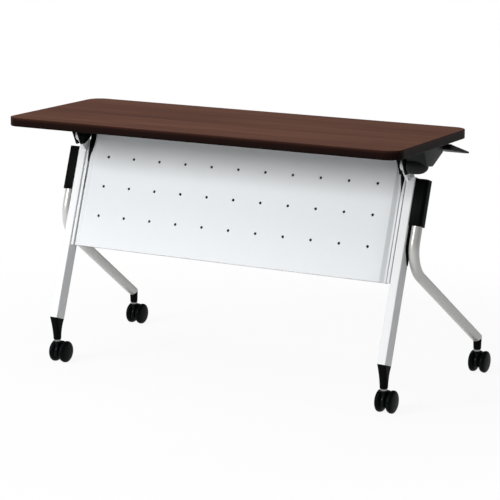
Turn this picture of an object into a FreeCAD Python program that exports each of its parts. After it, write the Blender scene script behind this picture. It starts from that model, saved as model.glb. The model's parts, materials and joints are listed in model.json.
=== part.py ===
"""Flip-top training table on four casters, built as a parametric document.

The table stands on z = 0 with +Y towards the person seated at it, +X to that person's left
and the modesty panel on the -Y side. Lengths are millimetres and angles are degrees.
"""
import FreeCAD, Part
import math
import os
from types import SimpleNamespace

import Sketcher

# Driving dimensions. "Back" and "ahead" are measured along Y from the centre line of the top.
SIZES = {
    # Tabletop: a laminated board with a thick edge band
    "top_length": 1200,
    "top_depth": 450,
    "top_height": 720,
    "top_thickness": 24,
    "top_corner": 40,
    "band_thickness": 2,
    "band_round": 1.5,
    # Leaning front posts, rectangular steel tube
    "lean_angle": 19.5,
    "post_inset": 82,
    "post_width": 25,
    "post_depth": 40,
    "post_wall": 1.6,
    "post_corner": 3,
    "post_foot_height": 133,
    "post_head_drop": 92,
    "post_head_back": 55.79,
    # Bent rear legs, round steel tube
    "tube_diameter": 28.6,
    "tube_wall": 1.6,
    "tube_standoff": 4,
    "tube_elbow_drop": 222,
    "tube_bend_radius": 90,
    "tube_end_height": 102,
    # Moulded sleeve that ties each rear leg to its post
    "sleeve_length": 125,
    "sleeve_drop": 3,
    "sleeve_wall": 2.7,
    "sleeve_cap": 4,
    "sleeve_corner": 9,
    "tongue_length": 105,
    "tongue_depth": 26,
    # Casters and their sockets
    "rear_stem_inset": 28,
    "rear_stem_back": 378.5,
    "socket_height": 70,
    "socket_neck": 22,
    "socket_waist_height": 96,
    "socket_waist_width": 22.5,
    "socket_waist_depth": 25,
    "socket_waist_corner": 9,
    "socket_foot_round": 3.5,
    "socket_plug": 24,
    "stem_diameter": 11,
    "stem_low": 40,
    "stem_top": 97,
    "collar_diameter": 19,
    "hood_top": 65,
    "hood_width": 22,
    "hood_radius": 28,
    "hood_boss": 27,
    "hood_shoulder": 25,
    "hood_clearance": 12,
    "hood_round": 1.5,
    "caster_trail": 17.5,
    "wheel_diameter": 62,
    "wheel_width": 15,
    "wheel_hub_gap": 0.4,
    "axle_diameter": 6,
    "axle_grip": 11.5,
    # Pivot of the top on the post heads
    "pivot_back": 8,
    "pivot_drop": 50,
    "pin_diameter": 12,
    "pin_head": 20,
    "pin_head_thickness": 2.5,
    "head_thickness": 8,
    "head_eye": 16,
    "gusset_length": 14,
    "catch_radius": 42,
    "web_thickness": 5,
    "web_gap": 1,
    "web_eye": 16,
    "web_ahead": 42,
    "web_back": 80,
    "base_thickness": 4,
    "base_wing": 30,
    "screw_head": 9,
    "screw_head_height": 2.5,
    "screw_shank": 4.2,
    "screw_length": 16,
    "screw_inset": 9,
    # Release lever, its shaft and its housing at the right end
    "shaft_diameter": 8,
    "shaft_back": 112,
    "shaft_drop": 12,
    "shaft_end_gap": 4,
    "lever_width": 84,
    "lever_margin": 2,
    "lever_hub": 8,
    "lever_reach": 128,
    "lever_dip": 32,
    "lever_tip": 4,
    "lever_corner": 14,
    "pawl_thickness": 5,
    "pawl_hub": 9,
    "pawl_nose": 9,
    "pawl_gap": 0.8,
    "guide_inset": 88,
    "guide_width": 16,
    "guide_depth": 22,
    "guide_wall": 5,
    "housing_gap": 3.5,
    "housing_margin": 20,
    "housing_drum": 23,
    "housing_ahead": 34,
    "housing_back": 94,
    "housing_tail": 26,
    "housing_wall": 2.5,
    "housing_round": 5,
    # Modesty panel, its side brackets and the beam behind it
    "panel_sheet": 1.2,
    "panel_top_gap": 26,
    "panel_height": 350,
    "panel_margin": 20,
    "liner_sheet": 1,
    "panel_step": 2,
    "panel_return": 11,
    "hole_diameter": 8,
    "hole_row_pitch": 85,
    "hole_columns": 11,
    "hole_side_margin": 49,
    "hole_first_row": 90,
    "bracket_sheet": 2,
    "bracket_drop": 45,
    "bracket_width": 11.2,
    "bracket_web": 14,
    "bracket_gap": 0.3,
    "taper_length": 71,
    "taper_width": 8,
    "wedge_width": 4.5,
    "beam_height": 50,
    "beam_depth": 18,
    "beam_wall": 1.6,
    "beam_rise": 185,
    # Fits
    "running_gap": 0.05,
    "seat_gap": 0.2,
}

doc = FreeCAD.newDocument("flip_top_table")
sheet = doc.addObject("Spreadsheet::Sheet", "sizes")
for row, (alias, number) in enumerate(SIZES.items(), start=1):
    sheet.set(f"A{row}", alias)
    sheet.set(f"B{row}", str(number))
    sheet.setAlias(f"B{row}", alias)
doc.recompute()


class Size:
    """A sheet value, or a sum of sheet values, that carries its number and its formula together."""

    def __init__(self, number, formula):
        self.number = number
        self.formula = formula

    def __add__(self, other):
        return Size(self.number + number_of(other), f"({self.formula} + {formula_of(other)})")

    def __sub__(self, other):
        return Size(self.number - number_of(other), f"({self.formula} - {formula_of(other)})")

    def __mul__(self, other):
        return Size(self.number * number_of(other), f"({self.formula} * {formula_of(other)})")

    def __truediv__(self, other):
        return Size(self.number / number_of(other), f"({self.formula} / {formula_of(other)})")

    def __neg__(self):
        return self * -1


def number_of(term):
    return term.number if isinstance(term, Size) else term


def formula_of(term):
    return term.formula if isinstance(term, Size) else f"({term})"


def cosine(angle):
    return Size(math.cos(math.radians(angle.number)), f"cos({angle.formula})")


def sine(angle):
    return Size(math.sin(math.radians(angle.number)), f"sin({angle.formula})")


def tangent(angle):
    return Size(math.tan(math.radians(angle.number)), f"tan({angle.formula})")


dim = SimpleNamespace(**{alias: Size(sheet.get(alias), f"sizes.{alias}") for alias in SIZES})
SIDES = (("left", -1), ("right", 1))
UP = FreeCAD.Vector(0, 0, 1)
ACROSS = FreeCAD.Vector(1, 0, 0)
parts = []


def point(x, y, z):
    return FreeCAD.Vector(number_of(x), number_of(y), number_of(z))


def bind(thing, path, term):
    """Tie a property or constraint to the sheet."""
    if isinstance(term, Size):
        thing.setExpression(path, term.formula)


def start_body(label, base=FreeCAD.Vector(), turn=FreeCAD.Rotation()):
    """A named sub-part, placed in the table."""
    body = doc.addObject("PartDesign::Body", label)
    body.Label = label
    body.Placement = FreeCAD.Placement(base, turn)
    parts.append(body)
    return body


def sketch_on(body, role, lift=0, tilt=None):
    """An empty sketch on one of the body's origin planes, lifted along the plane's normal."""
    flat = body.newObject("Sketcher::SketchObject", f"{body.Label}_sketch")
    support = next(item for item in body.Origin.OriginFeatures if item.Role == role)
    flat.AttachmentSupport = [(support, "")]
    flat.MapMode = "FlatFace"
    if tilt:
        flat.AttachmentOffset = FreeCAD.Placement(FreeCAD.Vector(), tilt)
    bind(flat, "AttachmentOffset.Base.z", lift)
    return flat


def pin_point(flat, item, end, x, y):
    """Fix one point of a sketch to its coordinates."""
    for kind, term in (("DistanceX", x), ("DistanceY", y)):
        index = flat.addConstraint(Sketcher.Constraint(kind, -1, 1, item, end, number_of(term)))
        bind(flat, f"Constraints[{index}]", term)


def draw_polygon(flat, corners):
    """A closed outline of straight edges through bound corners."""
    first = flat.GeometryCount
    count = len(corners)
    for index, (x, y) in enumerate(corners):
        next_x, next_y = corners[(index + 1) % count]
        flat.addGeometry(Part.LineSegment(point(x, y, 0), point(next_x, next_y, 0)))
    for index, (x, y) in enumerate(corners):
        after = first + (index + 1) % count
        flat.addConstraint(Sketcher.Constraint("Coincident", first + index, 2, after, 1))
        pin_point(flat, first + index, 1, x, y)


def draw_circle(flat, x, y, radius):
    """A circle with bound centre and radius."""
    item = flat.addGeometry(Part.Circle(point(x, y, 0), UP, number_of(radius)))
    pin_point(flat, item, 3, x, y)
    index = flat.addConstraint(Sketcher.Constraint("Radius", item, number_of(radius)))
    bind(flat, f"Constraints[{index}]", radius)


def draw_rectangle(flat, width, depth, x=0, y=0):
    """A rectangle centred on x, y."""
    low_x, high_x = width / -2 + x, width / 2 + x
    low_y, high_y = depth / -2 + y, depth / 2 + y
    draw_polygon(flat, [(low_x, low_y), (high_x, low_y), (high_x, high_y), (low_x, high_y)])


def draw_rounded_rectangle(flat, width, depth, radius):
    """A rectangle about the origin with round corners: straight runs joined by quarter arcs."""
    half_width, half_depth = width / 2, depth / 2
    flat_x, flat_y = half_width - radius, half_depth - radius
    runs = [
        ((-flat_x, -half_depth), (flat_x, -half_depth)),
        ((half_width, -flat_y), (half_width, flat_y)),
        ((flat_x, half_depth), (-flat_x, half_depth)),
        ((-half_width, flat_y), (-half_width, -flat_y)),
    ]
    centres = [(flat_x, -flat_y), (flat_x, flat_y), (-flat_x, flat_y), (-flat_x, -flat_y)]
    lines = []
    for start, end in runs:
        lines.append(flat.addGeometry(Part.LineSegment(point(*start, 0), point(*end, 0))))
    for index, (start, end) in enumerate(runs):
        pin_point(flat, lines[index], 1, *start)
        pin_point(flat, lines[index], 2, *end)
    for index, centre in enumerate(centres):
        circle = Part.Circle(point(*centre, 0), UP, number_of(radius))
        begin = math.radians(-90 + 90 * index)
        arc = flat.addGeometry(Part.ArcOfCircle(circle, begin, begin + math.radians(90)))
        flat.addConstraint(Sketcher.Constraint("Coincident", lines[index], 2, arc, 1))
        flat.addConstraint(Sketcher.Constraint("Coincident", arc, 2, lines[(index + 1) % 4], 1))
        radius_index = flat.addConstraint(Sketcher.Constraint("Radius", arc, number_of(radius)))
        bind(flat, f"Constraints[{radius_index}]", radius)


def pad(body, flat, length, reversed_way=False, symmetric=False):
    """Raise a sketch into a solid."""
    feature = body.newObject("PartDesign::Pad", f"{body.Label}_pad")
    feature.Profile = flat
    feature.Reversed = reversed_way
    feature.SideType = "Symmetric" if symmetric else "One side"
    bind(feature, "Length", length)
    doc.recompute()
    return feature


def pocket(body, flat, length, reversed_way=False, symmetric=False):
    """Cut a sketch out of the solid, and insist that it removes something."""
    before = body.Shape.Volume
    feature = body.newObject("PartDesign::Pocket", f"{body.Label}_pocket")
    feature.Profile = flat
    feature.Reversed = reversed_way
    feature.SideType = "Symmetric" if symmetric else "One side"
    bind(feature, "Length", length)
    doc.recompute()
    if body.Shape.Volume >= before:
        raise ValueError(f"{body.Label}: a pocket cuts nothing")
    return feature


def round_edges(body, picked, radius):
    """Fillet the edges of the body's last solid that the picker accepts."""
    base = body.Tip
    names = [f"Edge{n}" for n, edge in enumerate(base.Shape.Edges, start=1) if picked(edge)]
    feature = body.newObject("PartDesign::Fillet", f"{body.Label}_fillet")
    feature.Base = (base, names)
    bind(feature, "Radius", radius)
    doc.recompute()


def runs_along(edge, direction):
    """True for a straight edge parallel to the direction."""
    if edge.Curve.TypeId != "Part::GeomLine":
        return False
    along = (edge.Vertexes[1].Point - edge.Vertexes[0].Point).normalize()
    return abs(along.dot(direction)) > math.cos(math.radians(1))


def lies_level(edge, height):
    """True for an edge that lies all at one height in its body."""
    slack = dim.running_gap.number
    return abs(edge.BoundBox.ZMin - height.number) < slack and abs(edge.BoundBox.ZMax - height.number) < slack


def low_side(side, near, thickness):
    """Lower X of a layer that starts at distance near from the middle plane."""
    return near if side > 0 else -(near + thickness)


# Places that several pieces share, in the frame of the table
rear_reach = dim.rear_stem_back + dim.caster_trail + dim.wheel_diameter / 2
top_y = (dim.top_depth / 2 - rear_reach) / 2
underside = dim.top_height - dim.top_thickness
end_x = dim.top_length / 2
post_x = end_x - dim.post_inset
rear_stem_x = end_x - dim.rear_stem_inset
post_head_height = underside - dim.post_head_drop
post_inner = post_x - dim.post_width / 2
post_rise = post_head_height - dim.post_foot_height
post_foot_y = top_y + dim.post_head_back - post_rise * tangent(dim.lean_angle)
post_length = post_rise / cosine(dim.lean_angle)
lean_turn = FreeCAD.Rotation(ACROSS, -dim.lean_angle.number)
tube_offset = dim.post_width / 2 + dim.tube_standoff + dim.tube_diameter / 2
face_front = dim.post_depth / 2
pivot_y = top_y + dim.pivot_back
pivot_z = underside - dim.pivot_drop
shaft_y = top_y + dim.shaft_back
shaft_z = underside - dim.shaft_drop


def post_frame(x):
    """Base of the leaning frame whose Z follows a post, at the given X."""
    return point(x, post_foot_y, dim.post_foot_height)


# Tabletop board: a rounded slab with pilot holes for the screws of both hinge brackets
channel_x = post_inner + dim.head_thickness / 2
base_far = channel_x + dim.head_thickness / 2 + dim.web_gap + dim.web_thickness
base_near = channel_x - dim.head_thickness / 2 - dim.web_gap - dim.web_thickness - dim.base_wing
screw_places = []
for _, side in SIDES:
    for across in (base_near + dim.screw_inset, channel_x):
        for along in (-dim.web_ahead + dim.screw_inset, dim.web_back - dim.screw_inset):
            screw_places.append((across * side, along + dim.pivot_back))

board = start_body("tabletop", point(0, top_y, underside))
flat = sketch_on(board, "XY_Plane")
draw_rounded_rectangle(flat, dim.top_length - dim.band_thickness * 2,
                       dim.top_depth - dim.band_thickness * 2, dim.top_corner - dim.band_thickness)
pad(board, flat, dim.top_thickness)
flat = sketch_on(board, "XY_Plane")
for x, y in screw_places:
    draw_circle(flat, x, y, dim.screw_shank / 2 + dim.running_gap)
pocket(board, flat, dim.screw_length - dim.base_thickness + dim.seat_gap, reversed_way=True)

# Edge band: a ring round the board, both outer edges eased
band = start_body("edge_band", point(0, top_y, underside))
flat = sketch_on(band, "XY_Plane")
draw_rounded_rectangle(flat, dim.top_length, dim.top_depth, dim.top_corner)
draw_rounded_rectangle(flat, dim.top_length - dim.band_thickness * 2,
                       dim.top_depth - dim.band_thickness * 2, dim.top_corner - dim.band_thickness)
pad(band, flat, dim.top_thickness)


def on_band_rim(edge):
    """True for the outer edges of the band's upper and lower faces."""
    half_band = (dim.band_thickness / 2).number
    if edge.BoundBox.ZLength > half_band:
        return False
    if edge.Curve.TypeId == "Part::GeomCircle":
        return edge.Curve.Radius > dim.top_corner.number - half_band
    middle = edge.CenterOfMass
    at_end = abs(middle.x) > (dim.top_length / 2).number - half_band
    at_side = abs(middle.y) > (dim.top_depth / 2).number - half_band
    return at_end or at_side


round_edges(band, on_band_rim, dim.band_round)

# Posts: leaning rectangular tubes, square cut at both ends
for name, side in SIDES:
    post = start_body(f"post_{name}", post_frame(post_x * side), lean_turn)
    flat = sketch_on(post, "XY_Plane")
    draw_rounded_rectangle(flat, dim.post_width, dim.post_depth, dim.post_corner)
    draw_rounded_rectangle(flat, dim.post_width - dim.post_wall * 2,
                           dim.post_depth - dim.post_wall * 2, dim.post_corner - dim.post_wall)
    pad(post, flat, post_length)

# Rear legs: round tubes that follow the post, bend and run back to the rear casters.
# The path is spatial, so each tube is swept along a wire and its lower end is cut level.
for name, side in SIDES:
    up_post = lean_turn.multVec(UP)
    elbow_share = (post_head_height - dim.tube_elbow_drop - dim.post_foot_height) / cosine(dim.lean_angle)
    elbow = point((post_x + tube_offset) * side, post_foot_y, dim.post_foot_height)
    elbow = elbow + up_post * elbow_share.number
    foot = point(rear_stem_x * side, top_y + dim.rear_stem_back, dim.tube_end_height)
    down_leg = (foot - elbow).normalize()
    turn_angle = math.acos(up_post.dot(down_leg))
    setback = dim.tube_bend_radius.number * math.tan((math.pi - turn_angle) / 2)
    head_run = post_length - dim.sleeve_drop - dim.sleeve_cap - elbow_share
    head = elbow + up_post * head_run.number
    bend_start = elbow + up_post * setback
    bend_end = elbow + down_leg * setback
    inward = (up_post + down_leg).normalize()
    centre_reach = dim.tube_bend_radius.number / math.sin(turn_angle / 2)
    bend_middle = elbow + inward * (centre_reach - dim.tube_bend_radius.number)
    below = foot + down_leg * dim.tube_diameter.number
    path = Part.Wire([
        Part.LineSegment(head, bend_start).toShape(),
        Part.Arc(bend_start, bend_middle, bend_end).toShape(),
        Part.LineSegment(bend_end, below).toShape(),
    ])
    swept = []
    for radius in (dim.tube_diameter / 2, dim.tube_diameter / 2 - dim.tube_wall):
        rim = Part.Wire(Part.Circle(head, up_post, radius.number).toShape())
        swept.append(path.makePipeShell([rim], True, True))
    tube_shape = swept[0].cut(swept[1])
    cutter_size = dim.tube_diameter * 4
    cutter = Part.makeBox(cutter_size.number, cutter_size.number, dim.tube_end_height.number)
    cutter.translate(foot - point(cutter_size / 2, cutter_size / 2, dim.tube_end_height))
    leg = doc.addObject("Part::Feature", f"rear_leg_{name}")
    leg.Label = f"rear_leg_{name}"
    leg.Shape = tube_shape.cut(cutter)
    leg.Placement = FreeCAD.Placement()
    parts.append(leg)

# Sleeves: black mouldings against each post's outer face, closed at the top, with a tongue
# that keeps the tube clear of the post further down
for name, side in SIDES:
    sleeve = start_body(f"leg_sleeve_{name}", post_frame(post_x * side), lean_turn)
    sleeve_low = post_length - dim.sleeve_drop - dim.sleeve_length
    sleeve_near = dim.post_width / 2
    sleeve_far = tube_offset + dim.tube_diameter / 2 + dim.sleeve_wall
    sleeve_half = dim.tube_diameter / 2 + dim.sleeve_wall
    flat = sketch_on(sleeve, "XY_Plane", sleeve_low)
    draw_polygon(flat, [(sleeve_near * side, -sleeve_half), (sleeve_far * side, -sleeve_half),
                        (sleeve_far * side, sleeve_half), (sleeve_near * side, sleeve_half)])
    pad(sleeve, flat, dim.sleeve_length)
    sleeve_far_line = sleeve_far.number - dim.sleeve_wall.number

    def on_sleeve_back(edge):
        """True for the two long outer edges, away from the post."""
        return runs_along(edge, UP) and abs(edge.CenterOfMass.x) > sleeve_far_line

    round_edges(sleeve, on_sleeve_back, dim.sleeve_corner)
    flat = sketch_on(sleeve, "XY_Plane", sleeve_low)
    draw_circle(flat, tube_offset * side, 0, dim.tube_diameter / 2 + dim.running_gap)
    pocket(sleeve, flat, dim.sleeve_length - dim.sleeve_cap, reversed_way=True)
    flat = sketch_on(sleeve, "XY_Plane", sleeve_low)
    tongue_far = sleeve_near + dim.tube_standoff - dim.seat_gap
    tongue_half = dim.tongue_depth / 2
    draw_polygon(flat, [(sleeve_near * side, -tongue_half), (tongue_far * side, -tongue_half),
                        (tongue_far * side, tongue_half), (sleeve_near * side, tongue_half)])
    pad(sleeve, flat, dim.tongue_length, reversed_way=True)

# Front sockets: a loft from the post's section to the round caster neck, with a plug up the post
for name, side in SIDES:
    socket = start_body(f"front_socket_{name}", post_frame(post_x * side))
    foot_flat = sketch_on(socket, "XY_Plane", 0, lean_turn)
    draw_rounded_rectangle(foot_flat, dim.post_width, dim.post_depth, dim.post_corner)
    neck_flat = sketch_on(socket, "XY_Plane", dim.socket_height - dim.post_foot_height)
    draw_rounded_rectangle(neck_flat, dim.socket_neck, dim.socket_neck, dim.socket_neck / 2 - dim.running_gap)
    waist_flat = sketch_on(socket, "XY_Plane", dim.socket_waist_height - dim.post_foot_height)
    draw_rounded_rectangle(waist_flat, dim.socket_waist_width, dim.socket_waist_depth,
                           dim.socket_waist_corner)
    loft = socket.newObject("PartDesign::AdditiveLoft", f"{socket.Label}_loft")
    loft.Profile = foot_flat
    loft.Sections = [waist_flat, neck_flat]
    loft.Ruled = False
    doc.recompute()
    neck_level = dim.socket_height - dim.post_foot_height
    round_edges(socket, lambda edge: lies_level(edge, neck_level), dim.socket_foot_round)
    plug_flat = sketch_on(socket, "XY_Plane", 0, lean_turn)
    plug_inset = (dim.post_wall + dim.seat_gap) * 2
    draw_rounded_rectangle(plug_flat, dim.post_width - plug_inset, dim.post_depth - plug_inset,
                           dim.post_corner - dim.post_wall)
    pad(socket, plug_flat, dim.socket_plug)
    bore_flat = sketch_on(socket, "XY_Plane", dim.socket_height - dim.post_foot_height)
    draw_circle(bore_flat, 0, 0, dim.stem_diameter / 2 + dim.running_gap)
    pocket(socket, bore_flat, dim.stem_top - dim.socket_height + dim.seat_gap, reversed_way=True)

# Rear sockets: caps below the level tube ends, tapering to the same caster neck.
# A level cut through the sloping tube is longer than it is wide.
level_cut_share = 1.7
rim_depth = dim.tube_diameter * level_cut_share
for name, side in SIDES:
    socket = start_body(f"rear_socket_{name}",
                        point(rear_stem_x * side, top_y + dim.rear_stem_back, dim.socket_height))
    neck_flat = sketch_on(socket, "XY_Plane")
    draw_rounded_rectangle(neck_flat, dim.socket_neck, dim.socket_neck, dim.socket_neck / 2 - dim.running_gap)
    rim_flat = sketch_on(socket, "XY_Plane", dim.tube_end_height - dim.socket_height)
    draw_rounded_rectangle(rim_flat, dim.tube_diameter, rim_depth, dim.tube_diameter / 2 - dim.running_gap)
    loft = socket.newObject("PartDesign::AdditiveLoft", f"{socket.Label}_loft")
    loft.Profile = rim_flat
    loft.Sections = [neck_flat]
    loft.Ruled = True
    doc.recompute()
    round_edges(socket, lambda edge: lies_level(edge, dim.socket_height * 0), dim.socket_foot_round)
    bore_flat = sketch_on(socket, "XY_Plane")
    draw_circle(bore_flat, 0, 0, dim.stem_diameter / 2 + dim.running_gap)
    pocket(socket, bore_flat, dim.stem_top - dim.socket_height + dim.seat_gap, reversed_way=True)


# Pivot heads: steel plates welded to the front and the end of each post, with the eye of the top's pivot
eye_ahead = pivot_y - post_foot_y
eye_above = pivot_z - dim.post_foot_height
eye_y = eye_ahead * cosine(dim.lean_angle) - eye_above * sine(dim.lean_angle)
eye_z = eye_ahead * sine(dim.lean_angle) + eye_above * cosine(dim.lean_angle)
tangent_low_shares = (-0.9, -0.43)
tangent_top_shares = (0.5, 0.86)
catch_low_shares = (0.99, 0.139)
catch_top_shares = (0.848, 0.53)
for name, side in SIDES:
    head = start_body(f"pivot_head_{name}", post_frame(0), lean_turn)
    head_low = low_side(side, post_inner, dim.head_thickness)
    front_face = dim.post_depth / -2
    flat = sketch_on(head, "YZ_Plane", head_low)
    draw_polygon(flat, [
        (front_face, post_length - dim.gusset_length),
        (front_face, post_length),
        (dim.post_depth / 2 - dim.post_corner, post_length),
        (eye_y + dim.catch_radius * catch_low_shares[0], eye_z + dim.catch_radius * catch_low_shares[1]),
        (eye_y + dim.catch_radius * catch_top_shares[0], eye_z + dim.catch_radius * catch_top_shares[1]),
        (eye_y + dim.head_eye * tangent_top_shares[0], eye_z + dim.head_eye * tangent_top_shares[1]),
        (eye_y + dim.head_eye * tangent_low_shares[0], eye_z + dim.head_eye * tangent_low_shares[1]),
    ])
    pad(head, flat, dim.head_thickness)
    flat = sketch_on(head, "YZ_Plane", head_low)
    draw_circle(flat, eye_y, eye_z, dim.head_eye)
    pad(head, flat, dim.head_thickness)
    flat = sketch_on(head, "YZ_Plane", head_low)
    draw_circle(flat, eye_y, eye_z, dim.pin_diameter / 2 + dim.running_gap)
    pocket(head, flat, dim.head_thickness, reversed_way=True)

# Pivot pins: headed pins through the eye and both webs of the hinge bracket
head_middle = post_inner + dim.head_thickness / 2
pin_half = dim.head_thickness / 2 + dim.web_gap + dim.web_thickness + dim.seat_gap
for name, side in SIDES:
    pin = start_body(f"pivot_pin_{name}", point(head_middle * side, pivot_y, pivot_z))
    pin_end = pin_half + dim.pin_head_thickness
    flat = sketch_on(pin, "XZ_Plane")
    draw_polygon(flat, [
        (-pin_end, 0), (-pin_end, dim.pin_head / 2), (-pin_half, dim.pin_head / 2),
        (-pin_half, dim.pin_diameter / 2), (pin_half, dim.pin_diameter / 2),
        (pin_half, dim.pin_head / 2), (pin_end, dim.pin_head / 2), (pin_end, 0),
    ])
    turned = pin.newObject("PartDesign::Revolution", f"{pin.Label}_turned")
    turned.Profile = flat
    turned.ReferenceAxis = (flat, ["H_Axis"])
    doc.recompute()

# Modesty panel: one folded sheet, stepped back at both sides, returned on all edges and perforated
panel = start_body("modesty_panel", post_frame(0), lean_turn)
edge_half = post_inner - dim.bracket_width - dim.bracket_gap
face_half = edge_half - dim.panel_margin
panel_top = (underside - dim.panel_top_gap - dim.post_foot_height) / cosine(dim.lean_angle)
bracket_height = dim.panel_height - dim.bracket_drop
panel_rise = panel_top - face_front * tangent(dim.lean_angle) - dim.panel_height
hole_pitch = (face_half - dim.hole_side_margin) * 2 / (dim.hole_columns - 1)
face_y = face_front * -1
step_y = face_y + dim.panel_step
fold_y = step_y + dim.panel_return
sheet_y = dim.panel_sheet
flat = sketch_on(panel, "XY_Plane", panel_rise)
draw_polygon(flat, [
    (-face_half, face_y), (face_half, face_y), (face_half, step_y), (edge_half, step_y),
    (edge_half, fold_y), (edge_half - sheet_y, fold_y), (edge_half - sheet_y, step_y + sheet_y),
    (face_half - sheet_y, step_y + sheet_y), (face_half - sheet_y, face_y + sheet_y),
    (-face_half + sheet_y, face_y + sheet_y), (-face_half + sheet_y, step_y + sheet_y),
    (-edge_half + sheet_y, step_y + sheet_y), (-edge_half + sheet_y, fold_y),
    (-edge_half, fold_y), (-edge_half, step_y), (-face_half, step_y),
])
pad(panel, flat, dim.panel_height)
for edge_rise in (panel_rise, panel_rise + dim.panel_height - dim.panel_sheet):
    flat = sketch_on(panel, "XY_Plane", edge_rise)
    draw_polygon(flat, [(-face_half, face_y), (face_half, face_y), (face_half, fold_y), (-face_half, fold_y)])
    pad(panel, flat, dim.panel_sheet)
flat = sketch_on(panel, "XZ_Plane", -(face_y + dim.panel_sheet))
for row in (0, 1, 2):
    draw_circle(flat, dim.hole_side_margin - face_half,
                panel_rise + dim.hole_first_row + dim.hole_row_pitch * row, dim.hole_diameter / 2)
column = pocket(panel, flat, dim.panel_sheet * 2, symmetric=True)
holes = panel.newObject("PartDesign::LinearPattern", "panel_holes")
holes.Originals = [column]
holes.Direction = (flat, ["H_Axis"])
bind(holes, "Length", hole_pitch * (dim.hole_columns - 1))
bind(holes, "Occurrences", dim.hole_columns)
panel.Tip = holes

# Panel liner: a plain sheet that closes the panel's back, so its holes look into a shallow dark space
liner = start_body("panel_liner", post_frame(0), lean_turn)
flat = sketch_on(liner, "XY_Plane", panel_rise)
draw_rectangle(flat, edge_half * 2, dim.liner_sheet, 0, fold_y + dim.liner_sheet / 2)
pad(liner, flat, dim.panel_height)

# Cross beam: a rectangular tube welded between the posts behind the panel
beam = start_body("cross_beam", post_frame(0), lean_turn)
flat = sketch_on(beam, "YZ_Plane", -post_inner)
beam_y = dim.post_depth / 2 - dim.post_corner - dim.beam_depth / 2
beam_z = panel_rise + dim.beam_rise
draw_rectangle(flat, dim.beam_depth, dim.beam_height, beam_y, beam_z)
draw_rectangle(flat, dim.beam_depth - dim.beam_wall * 2, dim.beam_height - dim.beam_wall * 2, beam_y, beam_z)
pad(beam, flat, post_inner * 2)

# Panel brackets: angles on the posts' inner faces that frame the panel; each strip tapers to its top.
# Corner wedges: black fillers in the tapers that run on beside the panel up to its top edge
for name, side in SIDES:
    bracket = start_body(f"panel_bracket_{name}", post_frame(0), lean_turn)
    strip_near = post_inner - dim.bracket_width
    web_near = post_inner - dim.bracket_sheet
    strip_top = panel_rise + bracket_height
    taper_start = strip_top - dim.taper_length
    flat = sketch_on(bracket, "XY_Plane", panel_rise)
    draw_polygon(flat, [
        (strip_near * side, face_y), (post_inner * side, face_y),
        (post_inner * side, face_y + dim.bracket_web), (web_near * side, face_y + dim.bracket_web),
        (web_near * side, face_y + dim.bracket_sheet), (strip_near * side, face_y + dim.bracket_sheet),
    ])
    pad(bracket, flat, bracket_height)
    flat = sketch_on(bracket, "XZ_Plane", -face_y)
    draw_polygon(flat, [
        (strip_near * side, taper_start), (strip_near * side, strip_top),
        ((strip_near + dim.taper_width) * side, strip_top),
    ])
    pocket(bracket, flat, dim.bracket_sheet * 2, symmetric=True)

    wedge = start_body(f"corner_wedge_{name}", post_frame(0), lean_turn)
    flat = sketch_on(wedge, "XZ_Plane", -face_y - dim.bracket_sheet)
    wedge_low = taper_start + dim.taper_width
    draw_polygon(flat, [
        (strip_near * side, wedge_low), (strip_near * side, panel_rise + dim.panel_height),
        ((strip_near + dim.wedge_width) * side, panel_rise + dim.panel_height),
        ((strip_near + dim.wedge_width) * side, strip_top),
        ((strip_near + dim.taper_width - dim.seat_gap) * side, strip_top),
        ((strip_near + dim.seat_gap) * side, wedge_low),
    ])
    pad(wedge, flat, dim.bracket_sheet)

# Hinge brackets: black steel saddles under the board whose two webs straddle each pivot head
web_tip_front_shares = (-0.35, -1.65)
web_tip_back_shares = (0.8, -1.6)
web_start = post_inner - dim.web_gap - dim.web_thickness
for name, side in SIDES:
    saddle = start_body(f"hinge_bracket_{name}", point(0, pivot_y, pivot_z))
    flat = sketch_on(saddle, "XY_Plane", dim.pivot_drop)
    plate_depth = dim.web_ahead + dim.web_back
    plate_middle = (dim.web_back - dim.web_ahead) / 2
    draw_rectangle(flat, base_far - base_near, plate_depth, (base_near + base_far) / 2 * side, plate_middle)
    pad(saddle, flat, dim.base_thickness, reversed_way=True)
    web_top = dim.pivot_drop - dim.base_thickness
    for near in (web_start, post_inner + dim.head_thickness + dim.web_gap):
        web_low = low_side(side, near, dim.web_thickness)
        flat = sketch_on(saddle, "YZ_Plane", web_low)
        draw_polygon(flat, [
            (dim.web_ahead * -1, web_top), (dim.web_back, web_top),
            (dim.web_eye * web_tip_back_shares[0], dim.web_eye * web_tip_back_shares[1]),
            (dim.web_eye * web_tip_front_shares[0], dim.web_eye * web_tip_front_shares[1]),
        ])
        pad(saddle, flat, dim.web_thickness)
        flat = sketch_on(saddle, "YZ_Plane", web_low)
        draw_circle(flat, 0, 0, dim.web_eye)
        pad(saddle, flat, dim.web_thickness)
        flat = sketch_on(saddle, "YZ_Plane", web_low)
        draw_circle(flat, 0, 0, dim.pin_diameter / 2 + dim.running_gap)
        pocket(saddle, flat, dim.web_thickness, reversed_way=True)
    flat = sketch_on(saddle, "XY_Plane", dim.pivot_drop)
    for x, y in screw_places:
        if (number_of(x) > 0) == (side > 0):
            draw_circle(flat, x, y - dim.pivot_back, dim.screw_shank / 2 + dim.running_gap)
    pocket(saddle, flat, dim.base_thickness)

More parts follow.
